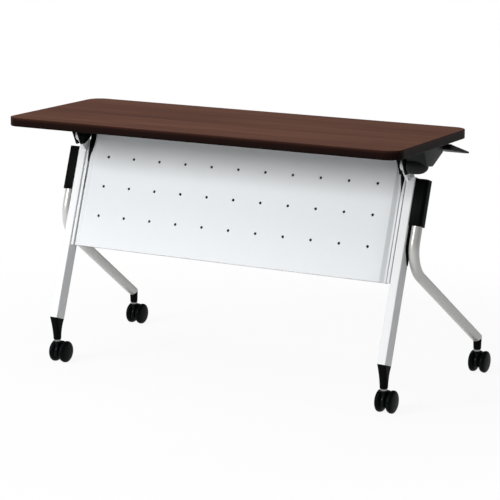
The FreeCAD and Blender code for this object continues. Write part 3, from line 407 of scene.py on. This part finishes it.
# Rear legs: bent round steel tubes in a satin silver-grey coat, running down the post and back to the caster.
# A little metal flake gives the long soft highlight; each lower end is cut aslant and meets its socket.
TUBE_X, TUBE_HEAD, TUBE_ELBOW = 0.5488, 0.4926, 0.26415
TUBE_FOOT = (0.572, 0.2775, 0.102)
TUBE_RADIUS, TUBE_SIDES, TUBE_RUNOUT = 0.0143, 40, 0.05
BEND_RADIUS, BEND_STEPS = 0.090, 18
CUT_POINT = Vector((0, 0.2735, 0.1048))
CUT_TILT = math.radians(30)
CUT_NORMAL = Vector((0, math.sin(CUT_TILT), -math.cos(CUT_TILT)))
silver_paint = powder_coat("silver_grey_coat", colour=(0.59, 0.59, 0.57), shade=(0.55, 0.55, 0.53),
                           dust=DUST_PALE, roughness=(0.28, 0.38), peel_scale=1100, peel_strength=0.05,
                           metallic=0.25)


def carry_ring(shape, edges, step):
    """Extrude an open ring of edges along a step and return the ring at its end."""
    grown = bmesh.ops.extrude_edge_only(shape, edges=edges)["geom"]
    points = {item for item in grown if isinstance(item, bmesh.types.BMVert)}
    bmesh.ops.translate(shape, verts=list(points), vec=step)
    return [item for item in grown if isinstance(item, bmesh.types.BMEdge) and set(item.verts) <= points]


def trim(shape, point, normal):
    """Cut away what lies beyond a plane and close every opening."""
    whole = list(shape.verts) + list(shape.edges) + list(shape.faces)
    bmesh.ops.bisect_plane(shape, geom=whole, plane_co=point, plane_no=normal, clear_outer=True)
    bmesh.ops.holes_fill(shape, edges=[edge for edge in shape.edges if edge.is_boundary], sides=0)


for name, side in SIDES:
    head = lean_frame @ Vector((TUBE_X * side, 0, TUBE_HEAD))
    elbow = lean_frame @ Vector((TUBE_X * side, 0, TUBE_ELBOW))
    foot = Vector((TUBE_FOOT[0] * side, TUBE_FOOT[1], TUBE_FOOT[2]))
    down, back = (elbow - head).normalized(), (foot - elbow).normalized()
    bend_angle = down.angle(back)
    setback = BEND_RADIUS * math.tan(bend_angle / 2)
    beside = down.cross(back).normalized()
    bend_start, bend_end = elbow - down * setback, elbow + back * setback
    bend_centre = bend_start + beside.cross(down) * BEND_RADIUS
    shape = bmesh.new()
    square_to_post = Matrix.Translation(head) @ Matrix.Rotation(-LEAN, 4, "X")
    bmesh.ops.create_circle(shape, segments=TUBE_SIDES, radius=TUBE_RADIUS, matrix=square_to_post)
    ring = carry_ring(shape, list(shape.edges), bend_start - head)
    ring_points = list({vert for edge in ring for vert in edge.verts})
    bent = bmesh.ops.spin(shape, geom=ring_points + ring, cent=bend_centre, axis=beside, angle=bend_angle,
                          steps=BEND_STEPS)["geom_last"]
    ring = [item for item in bent if isinstance(item, bmesh.types.BMEdge)]
    carry_ring(shape, ring, foot + back * TUBE_RUNOUT - bend_end)
    trim(shape, CUT_POINT, CUT_NORMAL)
    add_piece(f"leg_tube_{name}", shape, silver_paint, "frame", "grey_paint", f"rear_leg_{name}")

# Leg sleeves: black mouldings with a fine spark-eroded texture, screwed to the posts' outer faces.
# Each one holds the upper end of a rear leg, and a thin tongue below it keeps the tube off the post.
SLEEVE_NEAR, SLEEVE_FAR, SLEEVE_HALF = 530.55, 565.8, 17
SLEEVE_OUTLINE = ((SLEEVE_NEAR, -SLEEVE_HALF), (SLEEVE_FAR, -SLEEVE_HALF), (SLEEVE_FAR, SLEEVE_HALF),
                  (SLEEVE_NEAR, SLEEVE_HALF))
SLEEVE_ENDS = (371.66, 496.66)
SLEEVE_CORNER, SLEEVE_EASING = 9, 0.6
TONGUE_OUTLINE = ((-13, 372), (-13, 314), (-9, 303), (9, 274), (13, 267), (13, 372))
TONGUE_FACES = (530.55, 534.3)
DUST_GREY = (0.16, 0.155, 0.15)
black_moulding = powder_coat("black_moulding", colour=(0.0028, 0.0034, 0.0032),
                             shade=(0.0018, 0.0022, 0.0021), dust=DUST_GREY, roughness=(0.36, 0.5),
                             peel_scale=1500, peel_strength=0.12, specular=0.025, dust_share=0.02)
for name, side in SIDES:
    shape = bmesh.new()
    raise_outline(shape, SLEEVE_OUTLINE, *SLEEVE_ENDS,
                  lambda across, depth, up: Vector((across * side, up, depth)) * MILLIMETRE)
    far_line = (SLEEVE_FAR - SLEEVE_EASING) * MILLIMETRE
    outer_edges = [edge for edge in shape.edges if min(abs(vert.co.x) for vert in edge.verts) > far_line
                   and edge.verts[0].co.z != edge.verts[1].co.z]
    bevel(shape, outer_edges, SLEEVE_CORNER * MILLIMETRE, segments=6)
    rims = [edge for edge in shape.edges
            if abs(edge.verts[0].co.z - edge.verts[1].co.z) < SLEEVE_EASING * MILLIMETRE]
    bevel(shape, rims, SLEEVE_EASING * MILLIMETRE, segments=2)
    raise_outline(shape, TONGUE_OUTLINE, *TONGUE_FACES,
                  lambda across, depth, up: Vector((depth * side, across, up)) * MILLIMETRE)
    bmesh.ops.transform(shape, matrix=lean_frame, verts=shape.verts)
    add_piece(f"sleeve_shell_{name}", shape, black_moulding, "frame", "black_plastic", f"leg_sleeve_{name}")

# Sockets: black mouldings like the sleeves, fixed at the posts' feet and at the rear legs' cut ends.
# A rear socket is a slim upright cup, bored for the caster's stem and cut aslant to seat the tube.
REAR_SOCKET_PROFILE = ((0, 97.2), (5.6, 97.2), (5.6, 70), (8.6, 70), (10.2, 70.7), (11, 72.4), (11.9, 100),
                       (11.9, 120), (0, 120))
SOCKET_SEAT = 0.0001
SHOULDER_POINT, SHOULDER_NORMAL = Vector((0, 0.2872, 0.1067)), Vector((0, 0.572, 0.82))
UPRIGHT_STEPS = 48


def spin_profile(shape, centre, offsets, axis, steps):
    """Spin a line of offsets, in millimetres, once round an axis through a centre."""
    points = [shape.verts.new(centre + Vector(offset) * MILLIMETRE) for offset in offsets]
    lines = [shape.edges.new(pair) for pair in zip(points, points[1:])]
    bmesh.ops.spin(shape, geom=points + lines, cent=centre, axis=axis, angle=math.tau, steps=steps,
                   use_merge=True)


def turn_upright(shape, foot, profile):
    """Spin a profile of (radius, height), in millimetres, about the vertical through a point."""
    spin_profile(shape, foot, [(radius, 0, height) for radius, height in profile], (0, 0, 1), UPRIGHT_STEPS)


for name, side in SIDES:
    coat(black_moulding, f"front_socket_{name}")
    shape = bmesh.new()
    turn_upright(shape, Vector((TUBE_FOOT[0] * side, TUBE_FOOT[1], 0)), REAR_SOCKET_PROFILE)
    bmesh.ops.remove_doubles(shape, verts=shape.verts, dist=WELD_DISTANCE)
    trim(shape, CUT_POINT + CUT_NORMAL * SOCKET_SEAT, -CUT_NORMAL)
    trim(shape, SHOULDER_POINT, SHOULDER_NORMAL)
    add_piece(f"tube_socket_{name}", shape, black_moulding, "frame", "black_plastic", f"rear_socket_{name}")

# Corner gussets and shaft guides: thin black mouldings, snapped or screwed on.
# Each gusset fills the notch between the panel and its bracket strip; the guides carry the release shaft.
GUSSET_OUTLINE = ((493, 456), (492.4, 466), (483.9, 513), (483.9, 561), (498.9, 561), (498.9, 506),
                  (495, 456))
GUSSET_DEPTH = (-16.2, -14.2)
GUSSET_EASING = 0.3
for name, side in SIDES:
    shape = bmesh.new()
    gusset_edges = raise_outline(shape, GUSSET_OUTLINE, *GUSSET_DEPTH,
                                 lambda across, depth, up: Vector((across * side, depth, up)) * MILLIMETRE)
    bevel(shape, gusset_edges, GUSSET_EASING * MILLIMETRE, segments=2)
    bmesh.ops.transform(shape, matrix=lean_frame, verts=shape.verts)
    add_piece(f"corner_gusset_{name}", shape, black_moulding, "frame", "black_plastic",
              f"corner_wedge_{name}")
coat(black_moulding, "shaft_guide_left", "shaft_guide_middle", "shaft_guide_right")

# Hinge brackets, pins and latch pawls: folded steel in a black coat, screwed under the board.
# Two pointed webs straddle each pivot head, and their sheared edges are eased.
WEB_OUTLINE = ((-42, 46.5), (80, 46.5), (60, 14), (42, -11), (12.8, -25.6), (-5.6, -26.4))
WEB_THICKNESS = 5
WEB_PLACES = (5, 20)
BASE_OUTLINE = ((-42, 46), (80, 46), (80, 50), (-42, 50))
STEEL_EASING = 0.7
joints = {joint["name"]: joint for joint in frame["record"]["behaviour"]["joints"]}
pivot = Vector(joints["top_flip"]["pos_m"])
black_steel = powder_coat("black_steel_coat", colour=(0.0035, 0.0038, 0.0038),
                          shade=(0.0022, 0.0025, 0.0025), dust=DUST_GREY, roughness=(0.30, 0.42),
                          peel_scale=900, peel_strength=0.08, specular=0.04, dust_share=0.02)


def beside_pivot(across, depth, up):
    """A position from (along Y, X in metres, along Z), with Y and Z in millimetres from the pivot."""
    return Vector((depth, pivot.y + across * MILLIMETRE, pivot.z + up * MILLIMETRE))


for name, side in SIDES:
    low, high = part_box(f"hinge_bracket_{name}")
    inner_end, outer_end = (low[0], high[0]) if side > 0 else (high[0], low[0])
    shape = bmesh.new()
    base_edges = raise_outline(shape, BASE_OUTLINE, inner_end, outer_end, beside_pivot)
    bevel(shape, base_edges, STEEL_EASING * MILLIMETRE, segments=2)
    for place in WEB_PLACES:
        web_near = outer_end - place * MILLIMETRE * side
        web_far = web_near + WEB_THICKNESS * MILLIMETRE * side
        web_edges = raise_outline(shape, WEB_OUTLINE, web_near, web_far, beside_pivot)
        bevel(shape, web_edges, STEEL_EASING * MILLIMETRE, segments=2)
    add_piece(f"hinge_saddle_{name}", shape, black_steel, "top", "black_steel", f"hinge_bracket_{name}")
    coat(black_steel, f"pivot_pin_{name}", f"latch_pawl_{name}")

# Panel liner: a plain grey sheet behind the panel, so that its holes look into a shallow dark space.
# It is clipped into the panel's folded edges and has a faint fibrous tone.
liner_grey = powder_coat("liner_grey", colour=(0.085, 0.088, 0.09), shade=(0.06, 0.062, 0.064),
                         dust=DUST_GREY, roughness=(0.6, 0.75), peel_scale=400, peel_strength=0.15,
                         specular=0.1, dust_share=0.05)
coat(liner_grey, "panel_liner")

# Release shaft and screws: zinc-plated steel, drawn or turned, with a faintly uneven gloss.
# The shaft runs in three guides under the board, and the screws hold the hinge brackets.
MARK_SCALE, MARK_DETAIL = (400.0, 400.0, 400.0), 2
MARK_STRENGTH, MARK_DEPTH = 0.05, 0.0002
CLOUD_SCALE, CLOUD_DETAIL = (60.0, 60.0, 60.0), 3
CLOUD_LOW, CLOUD_HIGH = 0.3, 0.7
PLATE_ROUGHNESS = (0.22, 0.40)


def plated_steel(name, dark, pale):
    """Bright plating with a cloudy tone and faint tool marks."""
    material, tree, shader = new_material(name, pale, roughness=0.3, metallic=1.0)
    spot = object_coordinates(tree)
    marks = stretched_noise(tree, spot, MARK_SCALE, MARK_DETAIL)
    cloud = stretched_noise(tree, spot, CLOUD_SCALE, CLOUD_DETAIL)
    clouded = colour_steps(tree, cloud, ((CLOUD_LOW, dark), (CLOUD_HIGH, pale)))
    tree.links.new(clouded, shader.inputs["Base Color"])
    tree.links.new(spread(tree, marks, *PLATE_ROUGHNESS), shader.inputs["Roughness"])
    add_bump(tree, shader, marks, MARK_STRENGTH, MARK_DEPTH)
    return material


zinc = plated_steel("zinc_plate", dark=(0.52, 0.52, 0.55), pale=(0.66, 0.66, 0.66))
coat(zinc, "bracket_screws", "release_shaft")

# Lever housing: a black moulding screwed under the board beside the right hinge.
# A smooth barrel covers the pivot, and a wedge with soft edges slopes up to the lever.
BARREL_PROFILE = ((0, 0), (0, 16), (0.6, 17.8), (2, 19.8), (4.5, 21.6), (8, 22.6), (13, 23), (21, 22.9),
                  (29, 22.2), (36, 20.9), (42, 19), (46.5, 16.6), (50.5, 13.4), (53.5, 9.6), (55.5, 5),
                  (56, 0))
WEDGE_OUTLINE = ((-34, 49.9), (-12, 2), (29, -4.5), (33, -3.5), (93.5, 24.5), (93.9, 49.9))
WEDGE_EASING = 4
LATHE_STEPS = 72
housing_moulding = powder_coat("housing_moulding", colour=(0.014, 0.0152, 0.0148),
                               shade=(0.0105, 0.0115, 0.0112), dust=DUST_GREY, roughness=(0.38, 0.52),
                               peel_scale=1500, peel_strength=0.12, specular=0.12, dust_share=0.04)


def lathe(shape, centre, profile, way=1):
    """Spin a profile of (distance along X, radius), in millimetres, about the X axis through a centre."""
    offsets = [(along * way, 0, radius) for along, radius in profile]
    spin_profile(shape, centre, offsets, (1, 0, 0), LATHE_STEPS)


low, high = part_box("lever_housing")
shape = bmesh.new()
wedge_edges = raise_outline(shape, WEDGE_OUTLINE, low[0], high[0], beside_pivot)
board_line = pivot.z + (WEDGE_OUTLINE[0][1] - WEDGE_EASING) * MILLIMETRE
soft_edges = [edge for edge in wedge_edges if min(vert.co.z for vert in edge.verts) < board_line]
bevel(shape, soft_edges, WEDGE_EASING * MILLIMETRE, segments=4)
lathe(shape, Vector((low[0], pivot.y, pivot.z)), BARREL_PROFILE)
add_piece("housing_shell", shape, housing_moulding, "top", "black_plastic", "lever_housing")

# Release lever: a black moulded paddle clamped on the end of the release shaft.
# It thins from a round hub to a lip with rounded corners, and its upper and lower outlines are eased.
LIP_CORNER = 0.014
PADDLE_EASING = 0.0014
PADDLE_TOP = (0.0075, -0.0320)
PADDLE_BOTTOM = (-0.0078, -0.0360)
HUB_ROUND = ((0, 0), (0, 6.6), (0.4, 7.6), (1.4, 8))
shaft = Vector(joints["lever_pull"]["pos_m"])
lever_low, lever_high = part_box("release_lever")
near_x, far_x, lip_y = lever_low[0], lever_high[0], lever_high[1]
hub_length = (far_x - near_x) / MILLIMETRE
hub_profile = HUB_ROUND + tuple((hub_length - along, radius) for along, radius in reversed(HUB_ROUND))
shape = bmesh.new()
paddle_plan = ((near_x, shaft.y), (far_x, shaft.y), (far_x, lip_y), (near_x, lip_y))
corners = [shape.verts.new((x, y, shaft.z)) for x, y in paddle_plan]
shape.faces.new(corners)
bevel(shape, corners[2:], LIP_CORNER, segments=8, affect="VERTICES")
upper = list(shape.verts)
lower = pull_out(shape, list(shape.faces), (0, 0, 0))
for points, (start, end) in ((upper, PADDLE_TOP), (lower, PADDLE_BOTTOM)):
    for point in points:
        share = (point.co.y - shaft.y) / (lip_y - shaft.y)
        point.co.z = shaft.z + start + (end - start) * share
outlines = [edge for edge in shape.edges
            if all(vert in upper for vert in edge.verts) or all(vert in lower for vert in edge.verts)]
bevel(shape, outlines, PADDLE_EASING, segments=3)
lathe(shape, Vector((near_x, shaft.y, shaft.z)), hub_profile)
add_piece("lever_paddle", shape, black_moulding, "release", "black_plastic", "release_lever")

# Casters: twin-wheel swivel casters with a moulded nylon hood and a plated stem and axle, darkened as painted
# shade.
# The wheels are black nylon, full and domed, with a fine ring round the hub cap on the outer face.
STATIONS = [f"{end}_{name}" for end in ("front", "rear") for name, side in SIDES]
WHEEL_PROFILE = ((11.7, 0), (11.7, 3.05), (-5, 3.05), (-5, 20), (-4.6, 23), (-3.6, 25.6), (-2, 27.8),
                 (0.2, 29.5), (2.8, 30.5), (5.6, 30.95), (8, 30.8), (9.8, 30), (11.2, 28.5), (12.3, 26.3),
                 (13.2, 23.4), (13.85, 20), (14.35, 16.6), (14.65, 13.2), (14.72, 12.2), (14.6, 11.9),
                 (14.6, 11.4), (14.78, 11.1), (14.9, 8.5), (15, 5), (15, 0))
WHEEL_INWARD = 0.005
HOOD_GAP, HOOD_CLEARANCE = 0.0005, 0.021
HOOD_RADIUS, HOOD_SIDES, HOOD_EASING = 0.030, 72, 0.004
NECK_PROFILE = ((5.55, 45), (5.9, 45), (5.9, 62.4), (12.6, 62.4), (13.4, 62.9), (13.4, 64), (13, 64.7),
                (12.2, 65), (5.55, 65), (5.55, 45))
# The stems' and axles' zinc is painted much darker than the shaft's plating, as painted shade.
shaded_zinc = plated_steel("painted_shade_zinc_plate", dark=(0.22, 0.225, 0.23), pale=(0.30, 0.305, 0.31))
hood_nylon = powder_coat("hood_nylon", colour=(0.0035, 0.0048, 0.0048), shade=(0.0022, 0.0032, 0.0032),
                         dust=DUST_GREY, roughness=(0.24, 0.36), peel_scale=1800, peel_strength=0.06,
                         specular=0.06, dust_share=0.02)
wheel_nylon = powder_coat("wheel_nylon", colour=(0.0032, 0.005, 0.005), shade=(0.002, 0.0034, 0.0034),
                          dust=DUST_GREY, roughness=(0.26, 0.40), peel_scale=1300, peel_strength=0.08,
                          specular=0.035, dust_share=0.02)


def middle_of(name):
    """The middle of a CAD node's box."""
    low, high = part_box(name)
    return (Vector(low) + Vector(high)) / 2


for station in STATIONS:
    coat(shaded_zinc, f"caster_stem_{station}", f"caster_axle_{station}")
    stem = middle_of(f"caster_stem_{station}")
    axle = middle_of(f"caster_axle_{station}")
    for place in ("inner", "outer"):
        wheel = f"caster_wheel_{station}_{place}"
        body = f"wheel_{station}_{place}"
        low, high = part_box(wheel)
        way = 1 if middle_of(wheel).x > axle.x else -1
        shape = bmesh.new()
        lathe(shape, Vector((low[0] if way > 0 else high[0], axle.y, axle.z)), WHEEL_PROFILE, way)
        add_piece(body, shape, wheel_nylon, body, "wheel_plastic", wheel)

    low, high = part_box(f"caster_wheel_{station}_inner")
    wheel_face = low[0] if low[0] > axle.x else high[0]
    hood_half = abs(wheel_face - axle.x) - WHEEL_INWARD - HOOD_GAP
    shape = bmesh.new()
    on_edge = Matrix.Translation(axle - Vector((hood_half, 0, 0))) @ Matrix.Rotation(math.pi / 2, 4, "Y")
    bmesh.ops.create_circle(shape, cap_ends=True, segments=HOOD_SIDES, radius=HOOD_RADIUS, matrix=on_edge)
    pull_out(shape, list(shape.faces), (hood_half * 2, 0, 0))
    rims = [edge for edge in shape.edges if abs(edge.verts[0].co.x - edge.verts[1].co.x) < HOOD_EASING]
    bevel(shape, rims, HOOD_EASING, segments=4)
    trim(shape, (0, 0, HOOD_CLEARANCE), (0, 0, -1))
    turn_upright(shape, Vector((stem.x, stem.y, 0)), NECK_PROFILE)
    add_piece(f"hood_{station}", shape, hood_nylon, f"caster_{station}", "caster_plastic",
              f"caster_hood_{station}")

# Floor: a plain pale sheet that keeps the table's soft shadow.
# To the camera and in reflections it fades to white away from the table.
FLOOR_HALF = 30
FLOOR_COLOUR = (0.92, 0.92, 0.92)
FLOOR_CLEAR, FLOOR_FADED = 0.7, 1.7
FLOOR_NEAR_WHITE = 0.92
floor_mesh = bpy.data.meshes.new("floor")
shape = bmesh.new()
bmesh.ops.create_grid(shape, x_segments=1, y_segments=1, size=FLOOR_HALF)
shape.to_mesh(floor_mesh)
shape.free()
floor = bpy.data.objects.new("floor", floor_mesh)
bpy.context.scene.collection.objects.link(floor)
floor_finish, tree, shader = new_material("pale_floor", FLOOR_COLOUR, roughness=0.9, specular=0.0)
reach = tree.nodes.new("ShaderNodeVectorMath")
reach.operation = "LENGTH"
tree.links.new(object_coordinates(tree), reach.inputs[0])
fade = tree.nodes.new("ShaderNodeMapRange")
fade.interpolation_type = "SMOOTHSTEP"
fade.inputs["From Min"].default_value = FLOOR_CLEAR
fade.inputs["From Max"].default_value = FLOOR_FADED
fade.inputs["To Min"].default_value = FLOOR_NEAR_WHITE
tree.links.new(reach.outputs["Value"], fade.inputs["Value"])
rays = tree.nodes.new("ShaderNodeLightPath")
seen = tree.nodes.new("ShaderNodeMath")
seen.operation = "MAXIMUM"
tree.links.new(rays.outputs["Is Camera Ray"], seen.inputs[0])
tree.links.new(rays.outputs["Is Glossy Ray"], seen.inputs[1])
whitened = tree.nodes.new("ShaderNodeMath")
whitened.operation = "MULTIPLY"
tree.links.new(seen.outputs["Value"], whitened.inputs[0])
tree.links.new(fade.outputs["Result"], whitened.inputs[1])
white = tree.nodes.new("ShaderNodeEmission")
mixed = tree.nodes.new("ShaderNodeMixShader")
tree.links.new(whitened.outputs["Value"], mixed.inputs["Fac"])
tree.links.new(shader.outputs["BSDF"], mixed.inputs[1])
tree.links.new(white.outputs["Emission"], mixed.inputs[2])
tree.links.new(mixed.outputs["Shader"], tree.nodes["Material Output"].inputs["Surface"])
floor_mesh.materials.append(floor_finish)

# Light: one broad overhead softbox, a smaller one from the front left, and an even white surround.
# The surround is plain white to the camera and weaker as a light.
SOFTBOXES = (
    ("overhead_softbox", (-0.8, -1.2, 4.2), (0, 0, 0.4), 3.5, 82),
    ("front_softbox", (-2.4, -4.6, 2.55), (0, 0, 0.35), 1.7, 192),
)
SURROUND_STRENGTH = 0.22
for name, place, aim, size, power in SOFTBOXES:
    lamp_data = bpy.data.lights.new(name, "AREA")
    lamp_data.size = size
    lamp_data.energy = power
    lamp = bpy.data.objects.new(name, lamp_data)
    lamp.location = place
    lamp.rotation_euler = (Vector(aim) - Vector(place)).to_track_quat("-Z", "Y").to_euler()
    bpy.context.scene.collection.objects.link(lamp)

world = bpy.data.worlds.new("white_surround")
world.use_nodes = True
bpy.context.scene.world = world
tree = world.node_tree
background = tree.nodes["Background"]
background.inputs["Color"].default_value = (1, 1, 1, 1)
rays = tree.nodes.new("ShaderNodeLightPath")
seen = tree.nodes.new("ShaderNodeMapRange")
seen.inputs["To Min"].default_value = SURROUND_STRENGTH
tree.links.new(rays.outputs["Is Camera Ray"], seen.inputs["Value"])
tree.links.new(seen.outputs["Result"], background.inputs["Strength"])

# Camera: a long lens from the front right, looking slightly down on the top.
# Its place comes from the table's corners, feet and panel holes as the picture shows them.
AZIMUTH = math.radians(29.491)
ELEVATION = math.radians(12.173)
FOCAL_PIXELS = 2038.2
IMAGE_PIXELS = 500
SENSOR_WIDTH = 36
DISTANCE = 5.611
SIDE_STEP = 0.0458
RISE = -0.0341
TARGET = Vector((0, -0.101, 0.4))
level_back = Vector((math.sin(AZIMUTH), -math.cos(AZIMUTH), 0))
back = level_back * math.cos(ELEVATION) + Vector((0, 0, math.sin(ELEVATION)))
right = Vector((math.cos(AZIMUTH), math.sin(AZIMUTH), 0))
up = back.cross(right)
camera_data = bpy.data.cameras.new("photo_camera")
camera_data.sensor_width = SENSOR_WIDTH
camera_data.lens = FOCAL_PIXELS / IMAGE_PIXELS * SENSOR_WIDTH
camera = bpy.data.objects.new("photo_camera", camera_data)
turned = Matrix((right, up, back)).transposed().to_4x4()
camera.matrix_world = Matrix.Translation(TARGET + back * DISTANCE + right * SIDE_STEP + up * RISE) @ turned
bpy.context.scene.collection.objects.link(camera)
bpy.context.scene.camera = camera

bpy.context.scene.view_settings.view_transform = "Standard"
